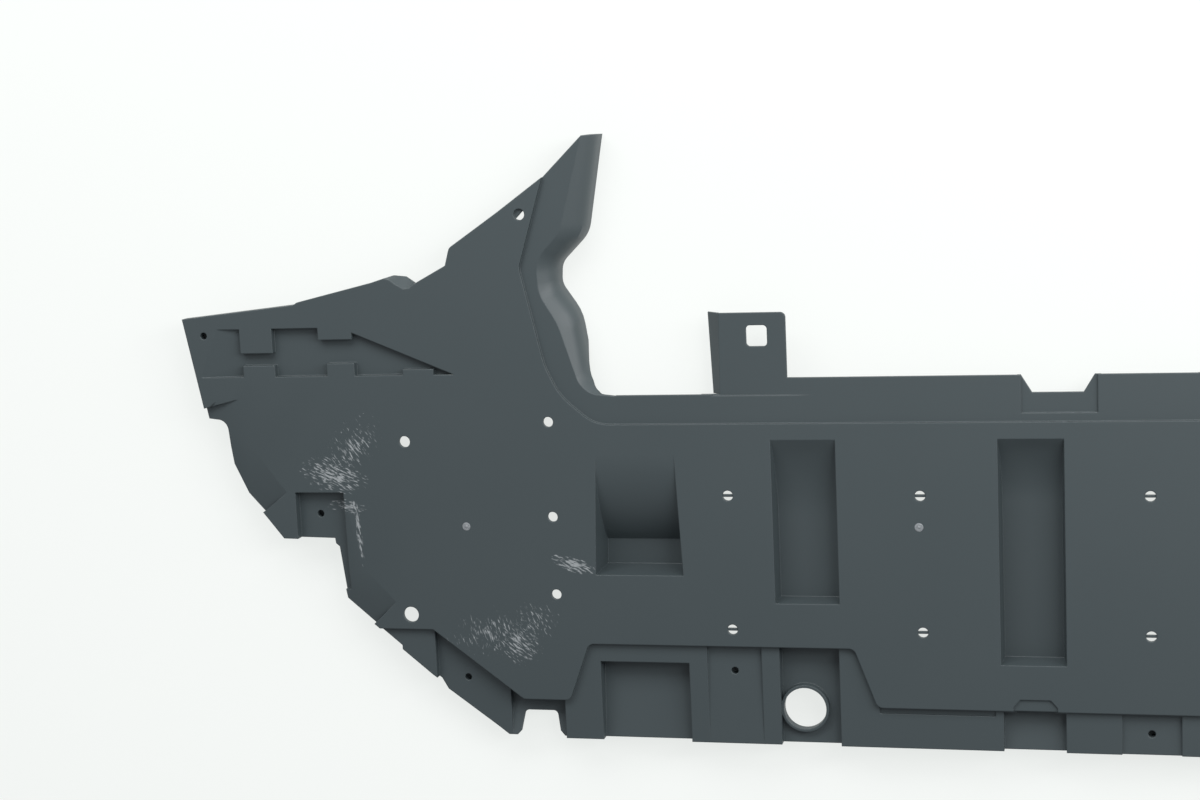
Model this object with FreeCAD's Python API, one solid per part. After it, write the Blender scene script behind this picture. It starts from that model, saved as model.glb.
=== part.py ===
"""Lower bumper guard of a car: one moulded plastic panel that closes the underside of the front bumper.

The panel lies with its road side up. u is the distance from the centre line, v the distance from the front edge,
and z is measured from the main face, so every recess has a negative z. The left and right halves mirror each other.
A corner is (u, v, radius), and a line or a border has what falls away on its left.
"""
import FreeCAD, Part
import math
import os

# Overall sizes, in millimetres
HALF_SPAN = 751.0
DEPTH = 474.0
HEIGHT = 31.0
WALL = 2.5
ABOVE = 4.0
BEYOND = 40.0

# Levels below the main face
BAND_DROP = 3.0
LIP_DROP = 4.0

# Rear edge, with the notch beside the centre line
REAR_EDGE = 287.0
SIDE_EDGE = 274.7
NOTCH_INNER = 38.5
NOTCH_OUTER = 91.5
NOTCH_DEPTH = 13.2
NOTCH_SLANT = 8.0
PAD_MARGIN = 2.0
PAD_REACH = 15.0
PAD_DROP = 1.5

# Tab on the rear edge, its square hole, the step that fades along its foot and the lip on its outer side
TAB_INNER = 264.0
TAB_OUTER = 322.0
TAB_FLARE = 3.0
TAB_END = REAR_EDGE + 49.6
TAB_CORNER = 4.0
TAB_STEP = 2.2
TAB_STEP_FADE = 76.0
TAB_STEP_AHEAD = 1.0
TAB_LIP_FOOT = 5.8
TAB_LIP_END = 10.0
TAB_LIP_FALL = 1.0
TAB_HOLE = 16.0
TAB_HOLE_U = TAB_INNER + 22.3
TAB_HOLE_V = TAB_END - 17.6
TAB_HOLE_CORNER = 3.0

# Wing: its upper edge from the tip inwards, and its end beside the engine opening
TIP_V = 340.4
WING_END = (415.0, DEPTH, 0.0)
UPPER_EDGE = [(HALF_SPAN, TIP_V, 0.0), (655.0, 350.0, 0.0), (652.0, 352.0, 0.0), (590.0, 366.0, 0.0),
              (573.0, 371.0, 6.0), (562.5, 369.8, 0.0), (554.5, 364.2, 0.0), (527.5, 378.2, 0.0),
              (523.6, 391.8, 6.0), (484.0, 417.8, 0.0), (446.3, 443.9, 0.0), WING_END]

# Outer and front edge, from the tip to the centre line
FRONT_EDGE = [(HALF_SPAN - 15.2, 259.0, 0.0), (HALF_SPAN - 31.5, 257.5, 9.0), (716.5, 222.0, 0.0),
              (706.2, 197.8, 0.0), (693.0, 183.2, 0.0), (676.0, 161.4, 0.0), (635.5, 160.3, 0.0),
              (635.0, 156.0, 0.0), (632.0, 153.5, 0.0), (627.0, 111.6, 0.0), (582.4, 73.6, 0.0),
              (582.4, 70.2, 0.0), (558.0, 49.6, 0.0), (552.5, 45.6, 0.0), (547.5, 36.6, 0.0),
              (507.5, 7.0, 0.0), (498.5, 0.0, 0.0), (0.0, 0.0, 0.0)]

# Rim under the wing's upper edge, the dip in that edge and the space that the rim leaves open below it
RIM_DEPTH = 10.0
RIM_START = SIDE_EDGE - 4.0
RIM_INNER = [(464.0, 400.0), (424.0, 436.0)]
DIP_DEPTH = 9.0
DIP_TOP = [(580.0, 369.6), (574.0, 368.2), (568.2, 364.0), (562.6, 360.7), (557.5, 361.3), (548.0, 368.2)]
DIP_FOOT = [(580.0, 370.0), (573.0, 371.4), (568.0, 371.0), (562.0, 370.2), (555.5, 365.8), (548.0, 368.4)]

# Rolled flange beside the engine opening: the crease on the face, and the outer face of its wall
CREASE = [(415.0, DEPTH, 0.0), (436.0, 400.0, 30.0), (455.5, 380.5, 25.0), (454.5, 354.0, 30.0),
          (440.5, 331.0, 60.0), (423.5, SIDE_EDGE + 1.5, 20.0), (397.0, SIDE_EDGE - 0.6, 0.0)]
FLANGE = [(404.8, DEPTH, 0.0), (418.3, 398.5, 25.0), (441.0, 376.0, 14.0), (442.0, 360.0, 14.0),
          (426.5, 337.0, 40.0), (418.3, SIDE_EDGE + 5.7, 30.0), (397.0, SIDE_EDGE, 0.0)]
ROLL_DEPTH = 16.0
ROLL_START = 25.0
ROLL_STEPS = 3
UNDER_ROLL_STEPS = 2
FADE_START = (SIDE_EDGE + 40.0, -HEIGHT)
FADE_KNEE = (SIDE_EDGE + 8.5, -11.0)
FADE_END = (SIDE_EDGE + 1.0, -BAND_DROP - WALL)
FADE_INNER = 390.0
FADE_OUTER = 440.0

# Fold line between the main face and the lower band behind it
FOLD_V = REAR_EDGE - 34.5
FOLD = [(0.0, FOLD_V, 0.0), (414.0, FOLD_V, 30.0), (441.0, 275.5, 50.0), (452.0, 299.0, 60.0),
        (468.5, 375.0, 12.0), (446.0, 446.0, 0.0), (426.0, DEPTH + BEYOND, 0.0), (0.0, DEPTH + BEYOND, 0.0)]

# Front lip: the line where the main face ends above it
LIP_V = 32.5
LIP_CROWN_V = LIP_V + 46.0
LIP_CROWN_INNER = 219.0
LIP_CROWN_OUTER = 427.0
LIP_CROWN_SLANT = 17.0
LIP_CORNER = 6.0
LIP_END = (482.0, LIP_V)
LIP_SLOPE_END = (554.5, LIP_V + 55.5)
POCKET_MARGIN = 2.0

# Pockets that open at the front edge: inner u, outer u, upper v, depth at the top and at the front
POCKET_WIDE = (348.0, 419.0, LIP_CROWN_V - 15.0, 19.0, 12.0)
POCKET_COLLAR = (231.0, 277.0, LIP_CROWN_V - 1.0, 17.0, 12.0)
POCKET_SLOT = (62.0, 108.0, LIP_V - POCKET_MARGIN, 14.0, 10.0)
SEAT_LIP = (291.0, 333.5, LIP_CROWN_V - 1.0, 7.0, 4.0)
SEAT_CENTRE = (0.0, 21.5, LIP_V - POCKET_MARGIN, 7.0, 6.0)
GROOVE = (114.0, 201.0, LIP_V - 5.5, LIP_V, LIP_DROP + 1.5)

# Seat and deep pocket at the slanted corner, and the notch that opens the pocket: u and v of its side's corners
SEAT_SLOPE = (495.5, 554.5, 10.0)
POCKET_DEEP = (449.5, 495.5, 17.0, 10.0)
CORNER_NOTCH_INNER = [(458.8, 19.5, 4.0), (456.0, 4.0, 0.0), (450.5, -2.0, 0.0)]
CORNER_NOTCH_OUTER = [(485.2, 19.5, 4.0), (488.5, 3.0, 0.0), (493.5, -2.0, 0.0)]

# Seat on the side edge of the wing: inner u, outer u, upper v, depth
SEAT_SIDE = (623.0, 664.0, 199.0, 8.0)

# Long recesses in the main face: inner u, outer u, lower v, upper v, depth, ramp, narrowing to the upper end
RECESS_DEEP = (349.0, 418.5, 134.0, 229.0, HEIGHT - WALL, 72.0, 4.0)
RECESS_MID = (229.0, 278.0, 113.0, 240.0, 17.0, 62.0, 0.0)
RECESS_LONG = (61.0, 109.0, 68.0, 240.0, 18.0, 50.0, 0.0)
RECESS_DRAFT = 6.0

# Channel along the wing, with teeth from its upper edge and bumps from its lower edge: outer u, inner u, end v
CHANNEL_TOP = 331.5
CHANNEL_LOW = CHANNEL_TOP - 38.5
CHANNEL_INNER = 463.0
CHANNEL_TOP_OUTER = HALF_SPAN - 29.0
CHANNEL_LOW_OUTER = HALF_SPAN - 13.0
CHANNEL_DEPTH = 6.0
CHANNEL_FADE = 30.0
TEETH = [(702.5, 675.0, 312.0), (636.0, 608.0, 322.0), (568.0, 541.0, 311.0), (502.0, 475.0, 310.5)]
BUMPS = [(701.0, 674.0, 302.0), (630.0, 607.0, 303.0), (567.0, 542.0, 297.5), (500.0, 476.0, 299.0)]

# Sloping borders of the wing: the line that each starts at, its width and how steeply each length falls
BORDERS = [([(707.5, 275.0), (698.0, 235.0), (671.0, 199.0)], 48.0, (0.17, 0.21)),
           ([(622.0, 196.0), (610.0, 138.0), (584.0, 110.0)], 36.0, (0.17, 0.2))]

# Holes: u, v, radius
HOLES = [(569.0, 240.0, 4.5), (451.0, 255.0, 4.0), (451.0, 180.0, 4.0), (451.0, 118.0, 4.0), (572.0, 100.0, 6.3)]
CLIP_HOLE_R = 2.8
CLIP_HOLES = [(HALF_SPAN - 17.7, 326.7), (646.3, 180.4), (530.2, 46.7), (312.4, 57.8), (0.0, 15.8)]
SHUTTER_HOLE = (466.0, 416.0, 4.3)
SHUTTER_LAP = 2.0
SHUTTER_TURN = 45.0
BAR_HOLE_R = 4.0
BAR_HOLE_ROWS = (197.0, 92.0)
BAR_HOLE_COLUMNS = (0.0, 166.5, 312.0)
BAR = 2.0
BAR_SET_BACK = 0.9
BAR_END = 0.5
COLLAR_U = 259.0
COLLAR_V = 28.0
COLLAR_BORE_R = 16.5
COLLAR_WALL = 2.2
COLLAR_TOP = -8.0

# Drain slot in the lip's step, and the shallow arched hollow over it
SLOT_INNER = 70.0
SLOT_OUTER = 98.5
SLOT_HEIGHT = 1.6
HUMP_MARGIN = 2.0
HUMP_SLANT = 5.0
HUMP_BASE = 6.0
HUMP_SHOULDER = 3.0
HUMP_RISE = 9.0
HUMP_DROP = 1.6


def spot(u, v, z=0.0):
    """A point of the part, from its distances to the centre line, the front edge and the main face."""
    return FreeCAD.Vector(u, v - DEPTH / 2, HEIGHT + z)


def sharp(points):
    """Corners without a radius, from points (u, v)."""
    return [(u, v, 0.0) for u, v in points]


def grown(points, grow):
    """The corners of a closed plan with every side moved outwards by grow; moved corners are sharp."""
    if not grow:
        return points
    around = list(zip(points[-1:] + points[:-1], points, points[1:] + points[:1]))
    area = sum(here[0] * after[1] - after[0] * here[1] for _, here, after in around)
    turn = 1 if area > 0 else -1
    result = []
    for before, here, after in around:
        a = (here[0] - before[0], here[1] - before[1])
        b = (after[0] - here[0], after[1] - here[1])
        length_a, length_b = math.hypot(*a), math.hypot(*b)
        out_a = (turn * a[1] / length_a, -turn * a[0] / length_a)
        out_b = (turn * b[1] / length_b, -turn * b[0] / length_b)
        share = grow / (1 + out_a[0] * out_b[0] + out_a[1] * out_b[1])
        result.append((here[0] + share * (out_a[0] + out_b[0]), here[1] + share * (out_a[1] + out_b[1]), 0.0))
    return result


def corner(before, here, after, z):
    """The start, middle and end of the arc that rounds one corner, or the bare corner."""
    p, a, b = spot(here[0], here[1], z), spot(before[0], before[1], z), spot(after[0], after[1], z)
    if not here[2]:
        return [p]
    to_a, to_b = (a - p).normalize(), (b - p).normalize()
    half = to_a.getAngle(to_b) / 2
    trim = here[2] / math.tan(half)
    middle = (to_a + to_b).normalize() * (here[2] / math.sin(half) - here[2])
    return [p + to_a * trim, p + middle, p + to_b * trim]


def joined(corners, following):
    """The arcs of a run of corners, and the straight edges from each one to the next."""
    edges = []
    for this, after in zip(corners, following):
        if len(this) == 3:
            edges.append(Part.Arc(*this).toShape())
        if (this[-1] - after[0]).Length > 1e-6:
            edges.append(Part.LineSegment(this[-1], after[0]).toShape())
    return edges


def closed_wire(points, z):
    """A closed wire through corners at one height."""
    corners = [corner(*three, z) for three in zip(points[-1:] + points[:-1], points, points[1:] + points[:1])]
    return Part.Wire(joined(corners, corners[1:] + corners[:1]))


def open_edges(points, z):
    """Edges through corners at one height, open at both ends."""
    corners = [corner(*three, z) for three in zip(points[:1] + points[:-1], points, points[1:] + points[-1:])]
    return joined(corners[:-1], corners[1:])


def prism(points, low, high):
    """An upright block of a rounded plan between two heights."""
    return Part.Face(closed_wire(points, low)).extrude(FreeCAD.Vector(0, 0, high - low))


def box_plan(u0, u1, v0, v1, radius=0.0):
    """The four corners of a rectangle."""
    return [(u0, v0, radius), (u1, v0, radius), (u1, v1, radius), (u0, v1, radius)]


def tilted_prism(points, floor, top=ABOVE):
    """A block of a sharp plan whose floor is the plane z = floor[0] + floor[1] * u + floor[2] * v."""
    base = [spot(u, v, floor[0] + floor[1] * u + floor[2] * v) for u, v, _ in points]
    lid = [spot(u, v, top) for u, v, _ in points]
    wires = [Part.makePolygon(ring + ring[:1]) for ring in (base, lid)]
    return Part.makeLoft(wires, True, True)


def side_prism(ring, u0, u1):
    """A block between two values of u, from corners (v, z) of its side view."""
    corners = [spot(u0, v, z) for v, z in ring]
    return Part.Face(Part.makePolygon(corners + corners[:1])).extrude(FreeCAD.Vector(u1 - u0, 0, 0))


def left_of(start, end):
    """The unit direction to the left of a line."""
    length = math.hypot(end[0] - start[0], end[1] - start[1])
    return -(end[1] - start[1]) / length, (end[0] - start[0]) / length


def falling_plane(start, end, level, fall, skin):
    """The plane that holds a line at one level and falls away on its left, a skin below that."""
    out = left_of(start, end)
    level_at_zero = level - skin * math.hypot(1, fall) + fall * (start[0] * out[0] + start[1] * out[1])
    return level_at_zero, -fall * out[0], -fall * out[1]


def strip(start, end, width, before=0.0, after=0.0):
    """The corners of a strip on the left of a line, lengthened before its start and after its end."""
    out = left_of(start, end)
    along = (out[1], -out[0])
    a = (start[0] - before * along[0], start[1] - before * along[1])
    b = (end[0] + after * along[0], end[1] + after * along[1])
    return sharp([a, b, (b[0] + width * out[0], b[1] + width * out[1]),
                  (a[0] + width * out[0], a[1] + width * out[1])])


def flange_points(inset, share):
    """Corners at a share of the way from the crease to the flange's outer face, less an inset."""
    points = []
    for (cu, cv, cr), (fu, fv, fr) in zip(CREASE, FLANGE):
        width = math.hypot(fu - cu, fv - cv)
        part = share * (width - inset) / width
        v = min(cv + (fv - cv) * part, WING_END[1] - inset)
        points.append((cu + (fu - cu) * part, v, cr + (fr - cr) * part))
    return points


def panel_block(inset, low, high):
    """The half panel as one block; the inset moves its edges inwards."""
    notch_v = REAR_EDGE - NOTCH_DEPTH
    rear = [(0.0, REAR_EDGE, 0.0), (NOTCH_INNER, REAR_EDGE, 0.0),
            (NOTCH_INNER + NOTCH_SLANT, notch_v, 0.0), (NOTCH_OUTER - NOTCH_SLANT, notch_v, 0.0),
            (NOTCH_OUTER, REAR_EDGE, 0.0), (TAB_INNER, REAR_EDGE, 0.0), (TAB_INNER, TAB_END, TAB_CORNER),
            (TAB_OUTER + TAB_FLARE, TAB_END, 0.0), (TAB_OUTER, SIDE_EDGE, 0.0)]
    ends = [FLANGE[-1], FLANGE[0]]
    moved = grown(rear + ends + UPPER_EDGE[::-1] + FRONT_EDGE, -inset)
    flange = flange_points(inset, 1.0)
    rest = flange[:1] + moved[len(rear) + len(ends):] + moved[:len(rear)] + flange[-1:]
    edges = open_edges(rest, low) + open_edges(flange, low)
    wire = Part.Wire(Part.__sortEdges__(edges))
    return Part.Face(wire).extrude(FreeCAD.Vector(0, 0, high - low))


def roll_cutter(skin):
    """What the flange's roll takes off the edge beside the engine opening."""
    start = math.radians(ROLL_START)
    steps = UNDER_ROLL_STEPS if skin else ROLL_STEPS
    levels = [(0.0, ABOVE)]
    for step in range(steps + 1):
        angle = start + (math.pi / 2 - start) * step / steps
        share = (math.sin(angle) - math.sin(start)) / (1 - math.sin(start))
        sunk = (math.cos(start) - math.cos(angle)) / math.cos(start)
        levels.append((share, -BAND_DROP - skin - (ROLL_DEPTH - skin) * sunk))
    sections = []
    for share, z in levels:
        points = flange_points(skin, share)
        first, last = points[0], points[-1]
        ring = [last, (last[0], DEPTH + BEYOND, 0.0), (first[0], DEPTH + BEYOND, 0.0), first]
        sections.append(Part.Wire(open_edges(points, z) + open_edges(ring, z)))
    return Part.makeLoft(sections, True, True)


def band_cutter(skin):
    """The lower band behind the fold line."""
    across = [(u or -BEYOND, v, radius) for u, v, radius in FOLD]
    return prism(grown(across, skin), -BAND_DROP - skin, ABOVE)


def lip_cutter(skin):
    """The lower front lip, with its crown round the wide pockets and its slope at the corner."""
    inner, outer, slant = LIP_CROWN_INNER, LIP_CROWN_OUTER, LIP_CROWN_SLANT
    far = LIP_SLOPE_END[0] + 2 * BEYOND
    points = [(-BEYOND, -BEYOND, 0.0), (far, -BEYOND, 0.0), (far, LIP_SLOPE_END[1], 0.0), (*LIP_SLOPE_END, 0.0),
              (*LIP_END, LIP_CORNER), (outer + slant, LIP_V, LIP_CORNER), (outer, LIP_CROWN_V, LIP_CORNER),
              (inner, LIP_CROWN_V, LIP_CORNER), (inner - slant, LIP_V, LIP_CORNER), (-BEYOND, LIP_V, 0.0)]
    return prism(grown(points, skin), -LIP_DROP - skin, ABOVE)


def front_pocket(size, skin):
    """A pocket that opens at the front edge, with its floor rising towards that edge."""
    inner, outer, top, deep, shallow = size
    plan = box_plan(inner or -BEYOND, outer, -BEYOND, top)
    return tilted_prism(grown(plan, skin), (-shallow - skin, 0.0, (shallow - deep) / top))


def corner_pockets(skin):
    """The seat on the slanted corner, and the deep pocket that the corner's notch opens."""
    inner, outer, depth = SEAT_SLOPE
    slope = (LIP_SLOPE_END[1] - LIP_END[1]) / (LIP_SLOPE_END[0] - LIP_END[0])
    seat_top = [LIP_END[1] + (u - LIP_END[0]) * slope - POCKET_MARGIN for u in (inner, outer)]
    seat = sharp([(inner, -BEYOND), (outer, -BEYOND), (outer, seat_top[1]), (inner, seat_top[0])])
    side, meeting, deep, shallow = POCKET_DEEP
    top = LIP_V - POCKET_MARGIN / 2
    pocket = sharp([(side, -BEYOND), (meeting, -BEYOND), (meeting, seat_top[0]), (LIP_END[0], top), (side, top)])
    return [prism(grown(seat, skin), -depth - skin, ABOVE),
            tilted_prism(grown(pocket, skin), (-shallow - skin, 0.0, (shallow - deep) / top))]


def side_seat(skin):
    """The seat on the side edge of the wing."""
    inner, outer, top, depth = SEAT_SIDE
    return prism(grown(box_plan(inner, outer, top - 2 * BEYOND, top), skin), -depth - skin, ABOVE)


def channel_cutter(skin):
    """The channel along the wing; its floor rises to the face at the slanted end beside the tip."""
    top_end, low_end = (CHANNEL_TOP_OUTER, CHANNEL_TOP), (CHANNEL_LOW_OUTER, CHANNEL_LOW)
    edge = [top_end]
    for outer, inner, end in TEETH:
        edge += [(outer, CHANNEL_TOP), (outer, end), (inner, end), (inner, CHANNEL_TOP)]
    edge += [(CHANNEL_INNER, CHANNEL_TOP), (CHANNEL_INNER, CHANNEL_LOW)]
    for outer, inner, end in BUMPS[::-1]:
        edge += [(inner, CHANNEL_LOW), (inner, end), (outer, end), (outer, CHANNEL_LOW)]
    plan = prism(grown(sharp(edge + [low_end]), skin), -CHANNEL_DEPTH - skin, ABOVE)
    floor = falling_plane(low_end, top_end, 0.0, CHANNEL_DEPTH / CHANNEL_FADE, skin)
    return plan.common(tilted_prism(strip(low_end, top_end, HALF_SPAN, BEYOND, BEYOND), floor))


def border_cutters(border, skin):
    """A flat border along a bent line, sloping down towards the wing's outer edge."""
    line, width, falls = border
    shapes = []
    for index, fall in enumerate(falls):
        start, end = line[index], line[index + 1]
        plan = strip(start, end, width, width if index else 0.0, 0.0 if index + 1 == len(falls) else width)
        shapes.append(tilted_prism(plan, falling_plane(start, end, 0.0, fall, skin)))
    return shapes


def recess_sides(size, skin):
    """The drafted and narrowing sides of a long recess, as a block along v."""
    inner, outer, low, high, depth, _, narrowing = size
    lean = math.tan(math.radians(RECESS_DRAFT))
    rings = []
    for v in (low - ABOVE, high + ABOVE):
        side = skin - narrowing * (v - low) / (high - low)
        ring = [(inner - side + lean * depth, -depth - skin), (outer + side - lean * depth, -depth - skin),
                (outer + side + lean * ABOVE, ABOVE), (inner - side - lean * ABOVE, ABOVE)]
        corners = [spot(u, v, z) for u, z in ring]
        rings.append(Part.makePolygon(corners + corners[:1]))
    return Part.makeLoft(rings, True, True)


def recess_end(size, skin):
    """The foot and top of the wall at a recess's lower end."""
    low, depth = size[2], size[4]
    lean = math.tan(math.radians(RECESS_DRAFT))
    return (low - skin + lean * depth, -depth - skin), (low - skin - lean * ABOVE, ABOVE)


def recess_eased_floor(size, skin):
    """A recess whose upper end is a crease and an arc that runs into its floor."""
    high, depth, ramp = size[3], size[4], size[5]
    radius = (ramp ** 2 + depth ** 2) / (2 * depth)
    centre_v, centre_z = high - ramp, radius - depth
    bend = radius + skin
    start_v = centre_v + math.sqrt(bend ** 2 - (centre_z + skin) ** 2)
    turn = math.asin((start_v - centre_v) / bend) / 2
    middle = (centre_v + bend * math.sin(turn), centre_z - bend * math.cos(turn))
    path = [(centre_v, -depth - skin), *recess_end(size, skin), (start_v, ABOVE)]
    return recess_block(size, skin, (start_v, -skin), middle, path)


def recess_eased_top(size, skin):
    """A scoop whose upper end leaves the face with no crease and drops to a flat floor."""
    high, depth, ramp = size[3], size[4], size[5]
    turn = 2 * math.atan(depth / ramp)
    radius = ramp / math.sin(turn)
    bend = radius - skin
    middle = (high - bend * math.sin(turn / 2), -radius + bend * math.cos(turn / 2))
    end = (high - bend * math.sin(turn), -radius + bend * math.cos(turn))
    floor_v = end[0] - (end[1] + depth + skin) / math.tan(turn)
    floor = [(floor_v, -depth - skin)] if skin else []
    path = [end, *floor, *recess_end(size, skin), (high, ABOVE)]
    return recess_block(size, skin, (high, -skin), middle, path)


def recess_block(size, skin, start, middle, path):
    """The solid of a recess from its side view: an arc to the path's first point, then the path, cut to width."""
    side = size[0] - BEYOND
    points = [spot(side, v, z) for v, z in path + [start]]
    edges = [Part.Arc(spot(side, *start), spot(side, *middle), points[0]).toShape()]
    edges += [Part.LineSegment(a, b).toShape() for a, b in zip(points, points[1:])]
    block = Part.Face(Part.Wire(edges)).extrude(FreeCAD.Vector(size[1] - size[0] + 2 * BEYOND, 0, 0))
    return block.common(recess_sides(size, skin))


def tab_cutters(skin):
    """The step that fades along the tab's foot, and the lip turned down on the tab's outer side."""
    fade_u = TAB_OUTER - TAB_STEP_FADE
    slope = -TAB_STEP / TAB_STEP_FADE
    foot = SIDE_EDGE - TAB_STEP_AHEAD
    side = TAB_OUTER + 2 * TAB_FLARE
    plan = sharp([(fade_u, foot), (TAB_OUTER, foot), (TAB_OUTER, SIDE_EDGE), (side, SIDE_EDGE),
                  (side, TAB_END + BEYOND), (fade_u, TAB_END + BEYOND)])
    step = tilted_prism(grown(plan, skin), (-BAND_DROP - skin - slope * fade_u, slope, 0.0))
    lip_foot = (TAB_OUTER - TAB_LIP_FOOT, SIDE_EDGE)
    lip_end = (TAB_OUTER + TAB_FLARE - TAB_LIP_END, TAB_END)
    floor = falling_plane(lip_end, lip_foot, -BAND_DROP - TAB_STEP, TAB_LIP_FALL, skin)
    lip = tilted_prism(strip(lip_end, lip_foot, 2 * TAB_LIP_END, BEYOND), floor)
    return [step, lip]


def notch_pad(skin):
    """The shallow pad round the notch in the rear edge."""
    low = REAR_EDGE - NOTCH_DEPTH - PAD_REACH
    pad = box_plan(NOTCH_INNER - PAD_MARGIN, NOTCH_OUTER, low, REAR_EDGE + BEYOND)
    return prism(grown(pad, skin), -BAND_DROP - PAD_DROP - skin, ABOVE)


def groove_cutter(skin):
    """The shallow groove along the front lip."""
    inner, outer, low, high, drop = GROOVE
    return prism(grown(box_plan(inner, outer, low, high), skin), -drop - skin, ABOVE)


def hump_cutter(skin):
    """The shallow arched hollow over the drain slot."""
    inner, outer = SLOT_INNER - HUMP_MARGIN, SLOT_OUTER + HUMP_MARGIN
    base, shoulder, top = LIP_V - HUMP_BASE, LIP_V + HUMP_SHOULDER, LIP_V + HUMP_RISE
    arch = sharp([(inner, base), (outer, base), (outer, shoulder), (outer - HUMP_SLANT, top),
                  (inner + HUMP_SLANT, top), (inner, shoulder)])
    return prism(grown(arch, skin), -HUMP_DROP - skin, ABOVE)


def rim_dip(skin):
    """The dip in the wing's upper edge: the rim leans out below it."""
    rings = []
    for line, z in ((DIP_TOP, ABOVE), (DIP_TOP, -skin), (DIP_FOOT, -DIP_DEPTH)):
        low = [spot(u, v - skin, z) for u, v in line]
        high = [spot(line[-1][0], line[-1][1] + BEYOND, z), spot(line[0][0], line[-1][1] + BEYOND, z)]
        rings.append(Part.makePolygon(low + high + low[:1]))
    return Part.makeLoft(rings, True, True)


def cutters(skin):
    """Everything that the road side of the panel is lowered by, at the face or a wall below it."""
    shapes = [roll_cutter(skin), band_cutter(skin), lip_cutter(skin), side_seat(skin), channel_cutter(skin),
              notch_pad(skin), groove_cutter(skin), hump_cutter(skin), rim_dip(skin)]
    shapes += corner_pockets(skin) + tab_cutters(skin)
    for size in (POCKET_WIDE, POCKET_COLLAR, POCKET_SLOT, SEAT_LIP, SEAT_CENTRE):
        shapes.append(front_pocket(size, skin))
    for border in BORDERS:
        shapes += border_cutters(border, skin)
    shapes.append(recess_eased_top(RECESS_DEEP, skin))
    shapes += [recess_eased_floor(size, skin) for size in (RECESS_MID, RECESS_LONG)]
    return shapes


def hollow():
    """The space under the half panel: open at plain edges, a wall inside the rimmed ones."""
    floor = -HEIGHT - ABOVE
    far = HALF_SPAN + BEYOND
    start = RIM_START - BEYOND
    rimmed = panel_block(WALL, floor, -WALL)
    open_front = prism(box_plan(-BEYOND, far, -BEYOND, RIM_START), floor, -WALL)
    open_rear = prism(box_plan(-BEYOND, FLANGE[-1][0], start, TAB_END + BEYOND), floor, -WALL)
    open_tip = prism(box_plan(HALF_SPAN - BEYOND, far, start, TIP_V - WALL), floor, -WALL)
    inner = [(RIM_INNER[-1][0], DEPTH + BEYOND)] + RIM_INNER[::-1] + [(RIM_INNER[0][0], CHANNEL_LOW)]
    under_rim = prism(sharp([(far, CHANNEL_LOW), (far, DEPTH + BEYOND)] + inner), floor, -RIM_DEPTH)
    space = rimmed.fuse([open_front, open_rear, open_tip, under_rim])
    return space.cut(cutters(WALL))


def flange_taper():
    """What is cut from under the flange where it runs out at the rear corner."""
    low = FADE_START[1] - ABOVE
    start = FADE_END[0] - BEYOND / 4
    ring = [(FADE_START[0], low), FADE_START, FADE_KNEE, FADE_END, (start, FADE_END[1]), (start, low)]
    return side_prism(ring, FADE_INNER, FADE_OUTER)


def drill(u, v, radius):
    """An upright round cutter through the whole panel."""
    return Part.makeCylinder(radius, HEIGHT + 2 * ABOVE, spot(u, v, -HEIGHT - ABOVE))


def half_holes():
    """The holes of one half, apart from those on the centre line."""
    tools = [drill(*hole) for hole in HOLES] + [drill(*SHUTTER_HOLE)]
    tools += [drill(u, v, BAR_HOLE_R) for u in BAR_HOLE_COLUMNS if u for v in BAR_HOLE_ROWS]
    tools += [drill(u, v, CLIP_HOLE_R) for u, v in CLIP_HOLES if u]
    tools.append(drill(COLLAR_U, COLLAR_V, COLLAR_BORE_R))
    side = TAB_HOLE / 2
    square = box_plan(TAB_HOLE_U - side, TAB_HOLE_U + side, TAB_HOLE_V - side, TAB_HOLE_V + side, TAB_HOLE_CORNER)
    tools.append(prism(square, -HEIGHT, ABOVE))
    tools.append(prism(CORNER_NOTCH_INNER + CORNER_NOTCH_OUTER[::-1], -HEIGHT, ABOVE))
    slot_low = LIP_V - POCKET_MARGIN
    tools.append(prism(box_plan(SLOT_INNER, SLOT_OUTER, slot_low, slot_low + SLOT_HEIGHT), -HEIGHT, ABOVE))
    return tools


def bar(u, v):
    """The bar across a hole, a little behind the face."""
    reach = BAR_HOLE_R + BAR_END
    return Part.makeBox(2 * reach, BAR, WALL - BAR_SET_BACK, spot(u - reach, v - BAR / 2, -WALL))


def half_shutter():
    """The plate that closes one side of the wing's hole from behind."""
    u, v, radius = SHUTTER_HOLE
    reach = radius + SHUTTER_LAP
    across, up = reach * math.cos(math.radians(SHUTTER_TURN)), reach * math.sin(math.radians(SHUTTER_TURN))
    plate = sharp([(u + across, v - up), (u + across + up, v + across - up), (u - across + up, v + across + up),
                   (u - across, v + up)])
    return prism(plate, -2 * WALL + BAR_END, -WALL + BAR_END)


def collar():
    """The collar round the large hole; its foot lies inside the pocket's floor."""
    _, _, pocket_top, deep, shallow = POCKET_COLLAR
    foot_z = -shallow - (deep - shallow) * COLLAR_V / pocket_top - WALL / 2
    foot = spot(COLLAR_U, COLLAR_V, foot_z)
    tube = Part.makeCylinder(COLLAR_BORE_R + COLLAR_WALL, COLLAR_TOP - foot_z, foot)
    return tube.cut(drill(COLLAR_U, COLLAR_V, COLLAR_BORE_R))


def half_panel():
    """One half of the guard, from the centre line outwards."""
    shell = panel_block(0.0, -HEIGHT, 0.0).cut(cutters(0.0))
    shell = shell.cut([hollow(), flange_taper()] + half_holes())
    bars = [bar(u, v) for u in BAR_HOLE_COLUMNS if u for v in BAR_HOLE_ROWS]
    return shell.fuse(bars + [half_shutter(), collar()])


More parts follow.
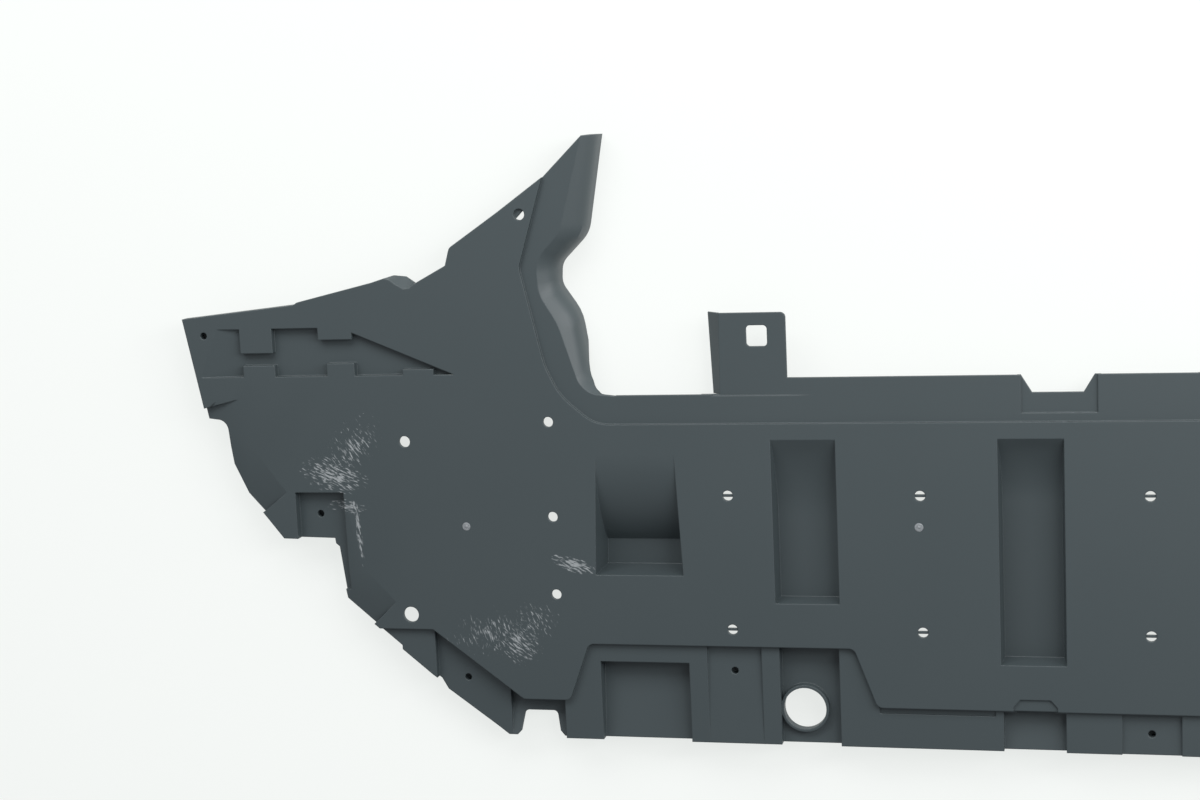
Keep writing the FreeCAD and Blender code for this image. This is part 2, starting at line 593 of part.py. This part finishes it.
def guard():
    """The whole guard: two mirrored halves and what lies on the centre line."""
    half = half_panel()
    whole = half.fuse(half.mirror(spot(0, 0), FreeCAD.Vector(1, 0, 0)))
    holes = [drill(0.0, v, BAR_HOLE_R) for v in BAR_HOLE_ROWS]
    holes += [drill(u, v, CLIP_HOLE_R) for u, v in CLIP_HOLES if not u]
    whole = whole.cut(holes).fuse([bar(0.0, v) for v in BAR_HOLE_ROWS]).removeSplitter()
    print("solids", len(whole.Solids), "valid", whole.isValid(), "volume", round(whole.Volume))
    return whole.Solids[0]


os.makedirs("parts", exist_ok=True)
guard().exportStep("parts/guard_panel.step")
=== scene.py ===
# %% [markdown]
# # A lower bumper guard
#
# This is the plastic panel that closes the underside of a car's front bumper. It is one moulding, about a
# metre and a half wide, with a rolled flange beside the engine opening, long stiffening recesses and many
# clip holes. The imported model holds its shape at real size. What is left for Blender is what the mould and
# some handling leave on it: softened edges, a fine grain, gate marks and white scuffs.

# %% Load the model
import bmesh
import bpy
import math
from mathutils import Matrix, Vector


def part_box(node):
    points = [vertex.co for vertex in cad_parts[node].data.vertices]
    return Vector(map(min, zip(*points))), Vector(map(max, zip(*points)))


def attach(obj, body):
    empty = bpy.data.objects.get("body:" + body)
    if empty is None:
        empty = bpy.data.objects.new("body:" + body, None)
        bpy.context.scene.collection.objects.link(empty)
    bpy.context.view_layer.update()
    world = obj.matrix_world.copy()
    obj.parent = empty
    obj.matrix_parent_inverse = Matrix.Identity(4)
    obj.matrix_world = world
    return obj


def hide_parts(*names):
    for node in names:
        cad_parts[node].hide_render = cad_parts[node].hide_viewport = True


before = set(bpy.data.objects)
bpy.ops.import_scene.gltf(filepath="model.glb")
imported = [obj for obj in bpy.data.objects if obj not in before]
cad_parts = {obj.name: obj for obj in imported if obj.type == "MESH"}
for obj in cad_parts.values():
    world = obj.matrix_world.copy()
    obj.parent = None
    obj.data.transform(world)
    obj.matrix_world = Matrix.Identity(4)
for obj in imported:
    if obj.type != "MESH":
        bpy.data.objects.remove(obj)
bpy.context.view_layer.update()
MM = 0.001
low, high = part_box("guard_panel")
print("panel", [round((b - a) / MM, 1) for a, b in zip(low, high)], "mm")


# %% [markdown]
# Places on the panel are easier to read as they would be on its drawing: across from the centre line, back
# from the front edge, and up from the main face. One helper turns them into Blender's metres.

# %% Places on the panel
def place(across, back, up=0.0):
    """A point from millimetres across the centre line, behind the front edge and above the main face."""
    return Vector((across * MM, low[1] + back * MM, high[2] + up * MM))


# %% [markdown]
# ## A smooth copy of the panel
#
# The model's mesh arrives as loose triangles, and each shades flat. A copy is merged, and then every edge
# is told whether it is a crease of the moulding or only a join between two facets of a curve. The turn
# alone can't say: the wing's borders slope by ten degrees, and the rolled flange turns by twenty between
# two facets. Size can, because a curve's facets are narrow. So connected triangles in one plane are
# gathered into regions, and an edge may turn further and still be smooth where the regions beside it are
# small. Weighted normals keep the large faces flat.

# %% The merged panel
MERGE = 0.01 * MM
SAME_PLANE = math.radians(0.5)
SMALL_REGION = 900.0 * MM * MM
TURN_OF_FLATS = math.radians(3.0)
TURN_BESIDE_FLAT = math.radians(13.0)
TURN_OF_CURVE = math.radians(27.0)


def region_areas(grid):
    """The area of the flat region that each face belongs to."""
    areas = {}
    for seed in grid.faces:
        if seed in areas:
            continue
        region, queue = {seed}, [seed]
        while queue:
            face = queue.pop()
            for edge in face.edges:
                if len(edge.link_faces) == 2 and edge.calc_face_angle() < SAME_PLANE:
                    fresh = [near for near in edge.link_faces if near not in region]
                    region.update(fresh)
                    queue += fresh
        total = sum(face.calc_area() for face in region)
        areas.update((face, total) for face in region)
    return areas


def is_smooth(edge, areas):
    """Whether an edge only joins two facets of one curve, or two parts of one flat."""
    if len(edge.link_faces) != 2:
        return False
    small = sum(areas[face] < SMALL_REGION for face in edge.link_faces)
    return edge.calc_face_angle() < (TURN_OF_FLATS, TURN_BESIDE_FLAT, TURN_OF_CURVE)[small]


def merged_copy(node, name):
    """A merged copy of a CAD node, with its creases marked and its curves smooth."""
    grid = bmesh.new()
    grid.from_mesh(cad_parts[node].data)
    bmesh.ops.remove_doubles(grid, verts=grid.verts, dist=MERGE)
    areas = region_areas(grid)
    for edge in grid.edges:
        edge.smooth = is_smooth(edge, areas)
    for face in grid.faces:
        face.smooth = True
    mesh = bpy.data.meshes.new(name)
    grid.to_mesh(mesh)
    grid.free()
    piece = bpy.data.objects.new(name, mesh)
    bpy.context.scene.collection.objects.link(piece)
    flats = piece.modifiers.new("flats", "WEIGHTED_NORMAL")
    flats.keep_sharp = True
    graph = bpy.context.evaluated_depsgraph_get()
    finished = bpy.data.meshes.new_from_object(piece.evaluated_get(graph))
    piece.modifiers.clear()
    piece.data = finished
    return piece


panel = merged_copy("guard_panel", "panel")
print("panel", len(panel.data.polygons), "faces")

# %% [markdown]
# ## Shader maths
#
# Masks for scuffs and grain are sums and products of sockets. A small class lets them be written as Python
# expressions, and one method adds any other node.


# %% A socket that can be calculated with
class Value:
    """A shader socket; adding, multiplying and comparing it adds Math nodes."""

    def __init__(self, tree, socket):
        self.tree = tree
        self.socket = socket

    def maths(self, operation, *values):
        sockets = dict(enumerate((self, *values)))
        return Shader.node(self.tree, "ShaderNodeMath", {"operation": operation}, sockets)

    def __add__(self, other):
        return self.maths("ADD", other)

    def __mul__(self, other):
        return self.maths("MULTIPLY", other)

    def __rsub__(self, other):
        return Shader.node(self.tree, "ShaderNodeMath", {"operation": "SUBTRACT"}, {0: other, 1: self})

    def __gt__(self, other):
        return self.maths("GREATER_THAN", other)

    __radd__ = __add__
    __rmul__ = __mul__


class Shader:
    """A new material's node tree, with its Principled shader."""

    def __init__(self, name):
        self.material = bpy.data.materials.new(name)
        self.material.use_nodes = True
        self.tree = self.material.node_tree
        self.principled = self.tree.nodes["Principled BSDF"]

    @staticmethod
    def node(tree, kind, settings=None, sockets=None, output=0):
        """Adds a node, gives it its settings and its sockets, and returns one output as a Value."""
        node = tree.nodes.new(kind)
        for name, setting in (settings or {}).items():
            setattr(node, name, setting)
        for name, value in (sockets or {}).items():
            if isinstance(value, Value):
                tree.links.new(value.socket, node.inputs[name])
            else:
                node.inputs[name].default_value = value
        return Value(tree, node.outputs[output])

    def add(self, kind, settings=None, sockets=None, output=0):
        return self.node(self.tree, kind, settings, sockets, output)

    def give(self, **sockets):
        """Sets or links the Principled shader's sockets, named with underscores for spaces."""
        for name, value in sockets.items():
            socket = self.principled.inputs[name.replace("_", " ")]
            if isinstance(value, Value):
                self.tree.links.new(value.socket, socket)
            else:
                socket.default_value = value


# %% [markdown]
# ## The moulded plastic
#
# The panel is a black-grey plastic, most likely polypropylene, with a slightly blue cast and a fine grain,
# so it shines softly. A slow noise changes its colour and shine by a few percent, as handling does, and a
# fine one is its grain. The white scuffs are where the panel was rubbed: patches of short strokes on the
# wing, beside the square recess and above the slanted corner. Each patch is a soft ellipse, and fine noise
# inside it, stretched along the strokes, breaks it up. The moulding's edges are a little round, and a Bevel
# node shades them so without a face more in the mesh.

# %% Strokes of a scuff
STROKE_SCALE = 380.0
STROKE_STRETCH = (2.0, 0.5, 1.0)
ANY_HEIGHT = 10.0


def ellipse(shader, at, reach, turn):
    """1 in the middle of an ellipse on the face, 0 at its edge, and less than that outside."""
    moved = shader.add("ShaderNodeMapping", {"vector_type": "TEXTURE"}, {
        "Vector": shader.add("ShaderNodeTexCoord", output=3),
        "Location": tuple(place(*at)),
        "Rotation": (0.0, 0.0, math.radians(turn)),
        "Scale": (reach[0] * MM, reach[1] * MM, ANY_HEIGHT),
    })
    return 1 - shader.add("ShaderNodeVectorMath", {"operation": "LENGTH"}, {0: moved}, output=1)


def strokes(shader, turn):
    """Fine noise, stretched along one direction of the face."""
    turned = shader.add("ShaderNodeMapping", {"vector_type": "TEXTURE"}, {
        "Vector": shader.add("ShaderNodeTexCoord", output=3),
        "Rotation": (0.0, 0.0, math.radians(turn)),
        "Scale": STROKE_STRETCH,
    })
    return shader.add("ShaderNodeTexNoise", None, {
        "Vector": turned, "Scale": STROKE_SCALE, "Detail": 2.0, "Roughness": 0.6})


# %% Scuffs
SCUFFS = [
    dict(at=(-630.0, 213.0), reach=(30.0, 15.0), turn=-12.0, cover=0.63, stroke=-25.0),
    dict(at=(-612.0, 236.0), reach=(32.0, 20.0), turn=50.0, cover=0.55, stroke=-55.0),
    dict(at=(-622.0, 188.0), reach=(20.0, 6.0), turn=0.0, cover=0.63, stroke=-10.0),
    dict(at=(-612.0, 168.0), reach=(2.6, 30.0), turn=4.0, cover=0.66, stroke=-80.0),
    dict(at=(-505.0, 88.0), reach=(46.0, 20.0), turn=14.0, cover=0.54, stroke=-75.0),
    dict(at=(-485.0, 77.0), reach=(22.0, 17.0), turn=-20.0, cover=0.60, stroke=-40.0),
    dict(at=(-468.0, 96.0), reach=(22.0, 18.0), turn=50.0, cover=0.55, stroke=-60.0),
    dict(at=(-436.0, 142.0), reach=(19.0, 6.0), turn=-18.0, cover=0.66, stroke=-20.0),
]
DENSER_INSIDE = 0.2
FIRST_TRACE = 1.23
FULL_TRACE = 1.43
PATCH_EDGE = 0.02
MOST_RUBBED = 0.7


def scuff_mask(shader):
    """How much of the plastic is rubbed white at each place."""
    rubbed = 0.0
    for scuff in SCUFFS:
        patch = ellipse(shader, scuff["at"], scuff["reach"], scuff["turn"])
        trace = shader.add("ShaderNodeMapRange", None, {
            "Value": strokes(shader, scuff["stroke"]) + patch * DENSER_INSIDE,
            "From Min": FIRST_TRACE - scuff["cover"],
            "From Max": FULL_TRACE - scuff["cover"],
        })
        rubbed = rubbed + trace * (patch > PATCH_EDGE)
    return rubbed.maths("MINIMUM", MOST_RUBBED)


# %% Moulded plastic
PLASTIC = (0.0415, 0.0550, 0.0595, 1.0)
PLASTIC_PALE = (0.0455, 0.0590, 0.0635, 1.0)
SCUFF_WHITE = (0.36, 0.38, 0.39, 1.0)
CLOUD_SCALE = 9.0
GRAIN_SCALE = 1400.0
GRAIN_DEPTH = 0.05 * MM
GRAIN_STRENGTH = 0.25
EDGE_RADIUS = 1.1 * MM
ROUGHNESS = 0.46
ROUGHER_IN_CLOUDS = 0.04
ROUGHER_IN_SCUFFS = 0.2


def moulded_plastic():
    """The panel's grained plastic, with its scuffs."""
    shader = Shader("moulded_plastic")
    where = shader.add("ShaderNodeTexCoord", output=3)
    cloud = shader.add("ShaderNodeTexNoise", None, {"Vector": where, "Scale": CLOUD_SCALE, "Detail": 3.0})
    grain = shader.add("ShaderNodeTexNoise", None, {"Vector": where, "Scale": GRAIN_SCALE, "Detail": 2.0})
    colour = shader.add("ShaderNodeMix", {"data_type": "RGBA"}, {
        0: cloud, 6: PLASTIC, 7: PLASTIC_PALE}, output=2)
    scuffed = scuff_mask(shader)
    colour = shader.add("ShaderNodeMix", {"data_type": "RGBA"}, {
        0: scuffed, 6: colour, 7: SCUFF_WHITE}, output=2)
    rounded = shader.add("ShaderNodeBevel", {"samples": 8}, {"Radius": EDGE_RADIUS})
    bump = shader.add("ShaderNodeBump", None, {
        "Height": grain, "Strength": GRAIN_STRENGTH, "Distance": GRAIN_DEPTH, "Normal": rounded})
    roughness = ROUGHNESS + cloud * ROUGHER_IN_CLOUDS + scuffed * ROUGHER_IN_SCUFFS
    shader.give(Base_Color=colour, Roughness=roughness, Normal=bump)
    return shader.material


plastic = moulded_plastic()
panel.data.materials.clear()
panel.data.materials.append(plastic)
print("material", plastic.name, len(plastic.node_tree.nodes), "nodes")

# %% [markdown]
# ## Gate marks
#
# Plastic enters the mould through a few gates, and each leaves a small glossy disc on the face with a
# raised pip. They repeat, so Geometry Nodes put one disc at each gate. The disc is a profile turned about
# its axis, drawn at a size of one, and the tree scales it to its radius and height. The tree knows nothing
# of gates, so it can repeat other turned shapes too.

# %% A tree that repeats a shape
def scatter_tree(name, material):
    """A node tree that puts a shape, at its radius and height, on every point of a mesh."""
    tree = bpy.data.node_groups.new(name, "GeometryNodeTree")
    sockets = {"Points": "Geometry", "Shape": "Object", "Radius": "Float", "Height": "Float"}
    for title, kind in sockets.items():
        tree.interface.new_socket(title, in_out="INPUT", socket_type="NodeSocket" + kind)
    tree.interface.new_socket("Pieces", in_out="OUTPUT", socket_type="NodeSocketGeometry")
    entry = tree.nodes.new("NodeGroupInput")
    exit_node = tree.nodes.new("NodeGroupOutput")
    shape = tree.nodes.new("GeometryNodeObjectInfo")
    size = tree.nodes.new("ShaderNodeCombineXYZ")
    scatter = tree.nodes.new("GeometryNodeInstanceOnPoints")
    real = tree.nodes.new("GeometryNodeRealizeInstances")
    coat = tree.nodes.new("GeometryNodeSetMaterial")
    coat.inputs["Material"].default_value = material
    link = tree.links.new
    link(entry.outputs["Points"], scatter.inputs["Points"])
    link(entry.outputs["Shape"], shape.inputs["Object"])
    link(shape.outputs["Geometry"], scatter.inputs["Instance"])
    link(entry.outputs["Radius"], size.inputs["X"])
    link(entry.outputs["Radius"], size.inputs["Y"])
    link(entry.outputs["Height"], size.inputs["Z"])
    link(size.outputs["Vector"], scatter.inputs["Scale"])
    link(scatter.outputs["Instances"], real.inputs["Geometry"])
    link(real.outputs["Geometry"], coat.inputs["Geometry"])
    link(coat.outputs["Geometry"], exit_node.inputs["Pieces"])
    return tree


# %% Turned shapes
TURNED_SIDES = 24
TURNED_MERGE = 0.0001


def turned_shape(name, profile):
    """A closed shape turned about its axis, from points that are shares of its radius and height."""
    grid = bmesh.new()
    corners = [grid.verts.new((radius, 0.0, height)) for radius, height in profile]
    line = [grid.edges.new(pair) for pair in zip(corners, corners[1:])]
    bmesh.ops.spin(grid, geom=corners + line, axis=(0.0, 0.0, 1.0), angle=math.tau, steps=TURNED_SIDES)
    bmesh.ops.remove_doubles(grid, verts=grid.verts, dist=TURNED_MERGE)
    bmesh.ops.recalc_face_normals(grid, faces=grid.faces)
    mesh = bpy.data.meshes.new(name)
    grid.to_mesh(mesh)
    grid.free()
    return mesh


def scattered(name, profile, points, material, radius, height):
    """One turned shape at every point, as one plain mesh."""
    shape = bpy.data.objects.new(name + "_shape", turned_shape(name + "_shape", profile))
    seed = bpy.data.meshes.new(name)
    seed.from_pydata(points, [], [])
    piece = bpy.data.objects.new(name, seed)
    for item in (shape, piece):
        bpy.context.scene.collection.objects.link(item)
    tree = scatter_tree(name, material)
    modifier = piece.modifiers.new("scatter", "NODES")
    modifier.node_group = tree
    inputs = {"Shape": shape, "Radius": radius, "Height": height}
    for socket in tree.interface.items_tree:
        if socket.name in inputs:
            modifier[socket.identifier] = inputs[socket.name]
    graph = bpy.context.evaluated_depsgraph_get()
    finished = bpy.data.meshes.new_from_object(piece.evaluated_get(graph))
    piece.modifiers.clear()
    piece.data = finished
    bpy.data.objects.remove(shape)
    return piece


# %% Gate marks
GATES = [(-521.8, 172.0), (-167.7, 173.1), (167.7, 173.1), (521.8, 172.0)]
GATE_PROFILE = [(0.0, 1.0), (0.22, 0.9), (0.34, 0.5), (0.8, 0.42), (0.95, 0.25), (1.0, 0.0), (0.0, -0.4)]
GATE_RADIUS = 3.3 * MM
GATE_RISE = 0.8 * MM
GATE_DARK = (0.09, 0.10, 0.11, 1.0)
GATE_PALE = (0.32, 0.34, 0.35, 1.0)
GATE_NOISE_SCALE = 900.0
GATE_ROUGHNESS = 0.3
GATE_ROUGHER_IN_NOISE = 0.1


def gate_gloss():
    """The bare, shinier plastic of a gate mark."""
    shader = Shader("gate_gloss")
    where = shader.add("ShaderNodeTexCoord", output=3)
    noise = shader.add("ShaderNodeTexNoise", None, {
        "Vector": where, "Scale": GATE_NOISE_SCALE, "Detail": 2.0})
    pale = shader.add("ShaderNodeMix", {"data_type": "RGBA"}, {
        0: noise, 6: GATE_DARK, 7: GATE_PALE}, output=2)
    shader.give(Base_Color=pale, Roughness=GATE_ROUGHNESS + noise * GATE_ROUGHER_IN_NOISE)
    return shader.material


gate_places = [place(*gate) for gate in GATES]
marks = scattered("gate_marks", GATE_PROFILE, gate_places, gate_gloss(), GATE_RADIUS, GATE_RISE)
print("gate marks", len(GATES), "discs,", len(marks.data.polygons), "faces")

# %% [markdown]
# ## Clip cups
#
# The small clip holes look dark, while the floor shows white through the larger ones. So each of the nine
# small holes gets a blind cup behind it, which keeps the light out. What lies behind the real ones isn't
# known. The same tree repeats the cup, and each starts just inside the wall's underside, so that no gap is
# left.

# %% Clip cups
CUP_PROFILE = [(0.0, -1.0), (1.0, -1.0), (1.0, 0.0), (0.70, 0.0), (0.70, -0.8), (0.0, -0.8)]
CUP_RADIUS = 4.3 * MM
CUP_DEPTH = 6.3 * MM
BEHIND_FACE = 2.3
PAIRED_HOLES = [(733.3, 326.7, 0.0), (646.3, 180.4, -8.0), (530.2, 46.7, -10.0), (312.4, 57.8, -6.2)]
CENTRE_HOLE = (0.0, 15.8, -7.8)
clip_holes = [(side * across, back, up) for side in (-1, 1) for across, back, up in PAIRED_HOLES]
clip_holes.append(CENTRE_HOLE)
cup_places = [place(across, back, up - BEHIND_FACE) for across, back, up in clip_holes]
cups = scattered("clip_cups", CUP_PROFILE, cup_places, plastic, CUP_RADIUS, CUP_DEPTH)
print("clip cups", len(cup_places), "cups,", len(cups.data.polygons), "faces")

# %% [markdown]
# ## Floor
#
# The panel lies on a plain pale floor. More light on the floor would also be more light on the panel, so
# the floor's white comes from its colour, and where the camera or a reflection sees it, most of it glows.
# The part that doesn't glow keeps the panel's shadow.

# %% Floor
FLOOR_COLOUR = (0.86, 0.88, 0.86, 1.0)
FLOOR_GLOW = (0.93, 0.955, 0.935, 1.0)
FLOOR_GLOW_SHARE = 0.8
REACH = 4.0
corners = [(REACH * x, REACH * y, low[2]) for x, y in ((-1, -1), (1, -1), (1, 1), (-1, 1))]
floor_mesh = bpy.data.meshes.new("floor")
floor_mesh.from_pydata(corners, [], [(0, 1, 2, 3)])
floor = bpy.data.objects.new("floor", floor_mesh)
bpy.context.scene.collection.objects.link(floor)
paper = Shader("floor_paper")
paper.give(Base_Color=FLOOR_COLOUR, Roughness=0.9)
plain = Value(paper.tree, paper.principled.outputs[0])
glow = paper.add("ShaderNodeEmission", None, {"Color": FLOOR_GLOW, "Strength": 1.0})
by_camera = paper.add("ShaderNodeLightPath", output=0)
by_gloss = paper.add("ShaderNodeLightPath", output=3)
blend = paper.add("ShaderNodeMixShader", None, {
    0: (by_camera + by_gloss) * FLOOR_GLOW_SHARE, 1: plain, 2: glow})
paper.tree.links.new(blend.socket, paper.tree.nodes["Material Output"].inputs["Surface"])
floor_mesh.materials.append(paper.material)
print("floor", 2 * REACH, "m across")

# %% [markdown]
# ## Light
#
# The wing is paler than the main face, and the rolled flange has a bright crown beside a dark outer wall.
# So the largest lamp hangs beyond the wing's end, two stand on the right, the nearer of them for the
# flange's crown, and the left side gets very little. The world fills the shadows.

# %% Light
WORLD_COLOUR = (0.93, 0.96, 1.0, 1.0)
WORLD_STRENGTH = 0.36
LAMPS = [
    dict(name="top_light", at=(-0.6, 1.3, 1.0), aim=(-0.5, 0.3, 0.0), size=(2.0, 0.8), power=27.0),
    dict(name="left_light", at=(-2.2, 0.6, 1.2), aim=(-0.3, 0.0, 0.0), size=(1.0, 1.4), power=2.0),
    dict(name="right_light", at=(1.7, 0.7, 0.9), aim=(-0.4, 0.1, 0.0), size=(0.8, 1.0), power=16.0),
    dict(name="crown_light", at=(0.6, 0.55, 1.1), aim=(-0.45, 0.2, 0.0), size=(0.4, 0.9), power=11.0),
]


def lamp(name, at, aim, size, power):
    """A soft rectangular lamp that points at a place."""
    light = bpy.data.lights.new(name, "AREA")
    light.shape = "RECTANGLE"
    light.size, light.size_y = size
    light.energy = power
    holder = bpy.data.objects.new(name, light)
    holder.location = at
    holder.rotation_euler = (Vector(aim) - Vector(at)).to_track_quat("-Z", "Y").to_euler()
    bpy.context.scene.collection.objects.link(holder)
    print(name, power, "W")


for settings in LAMPS:
    lamp(**settings)
world = bpy.data.worlds.new("studio")
bpy.context.scene.world = world
world.use_nodes = True
sky = world.node_tree.nodes["Background"]
sky.inputs["Color"].default_value = WORLD_COLOUR
sky.inputs["Strength"].default_value = WORLD_STRENGTH

# %% [markdown]
# ## Camera
#
# The camera stands above the gap between the wings and looks down at the left half and a little of the
# right. Its three directions are written out, because it leans a little to each side and no single target
# gives that.

# %% Camera
CAMERA_AT = (-0.02441, 0.27245, 1.57856)
CAMERA_RIGHT = (0.97113, -0.04564, -0.23413)
CAMERA_UP = (0.00931, 0.98803, -0.15399)
CAMERA_BACK = (0.23836, 0.14736, 0.95993)
LENS = 62.955
camera_data = bpy.data.cameras.new("camera")
camera_data.sensor_width = 36.0
camera_data.lens = LENS
camera = bpy.data.objects.new("camera", camera_data)
turn = Matrix((CAMERA_RIGHT, CAMERA_UP, CAMERA_BACK)).transposed().to_4x4()
camera.matrix_world = Matrix.Translation(CAMERA_AT) @ turn
bpy.context.scene.collection.objects.link(camera)
bpy.context.scene.camera = camera
bpy.context.scene.view_settings.view_transform = "Standard"
print("camera", [round(c, 3) for c in camera.location])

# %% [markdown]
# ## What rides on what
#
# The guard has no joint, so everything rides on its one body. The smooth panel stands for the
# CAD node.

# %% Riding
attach(panel, "root")
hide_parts("guard_panel")
for piece in (marks, cups):
    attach(piece, "root")
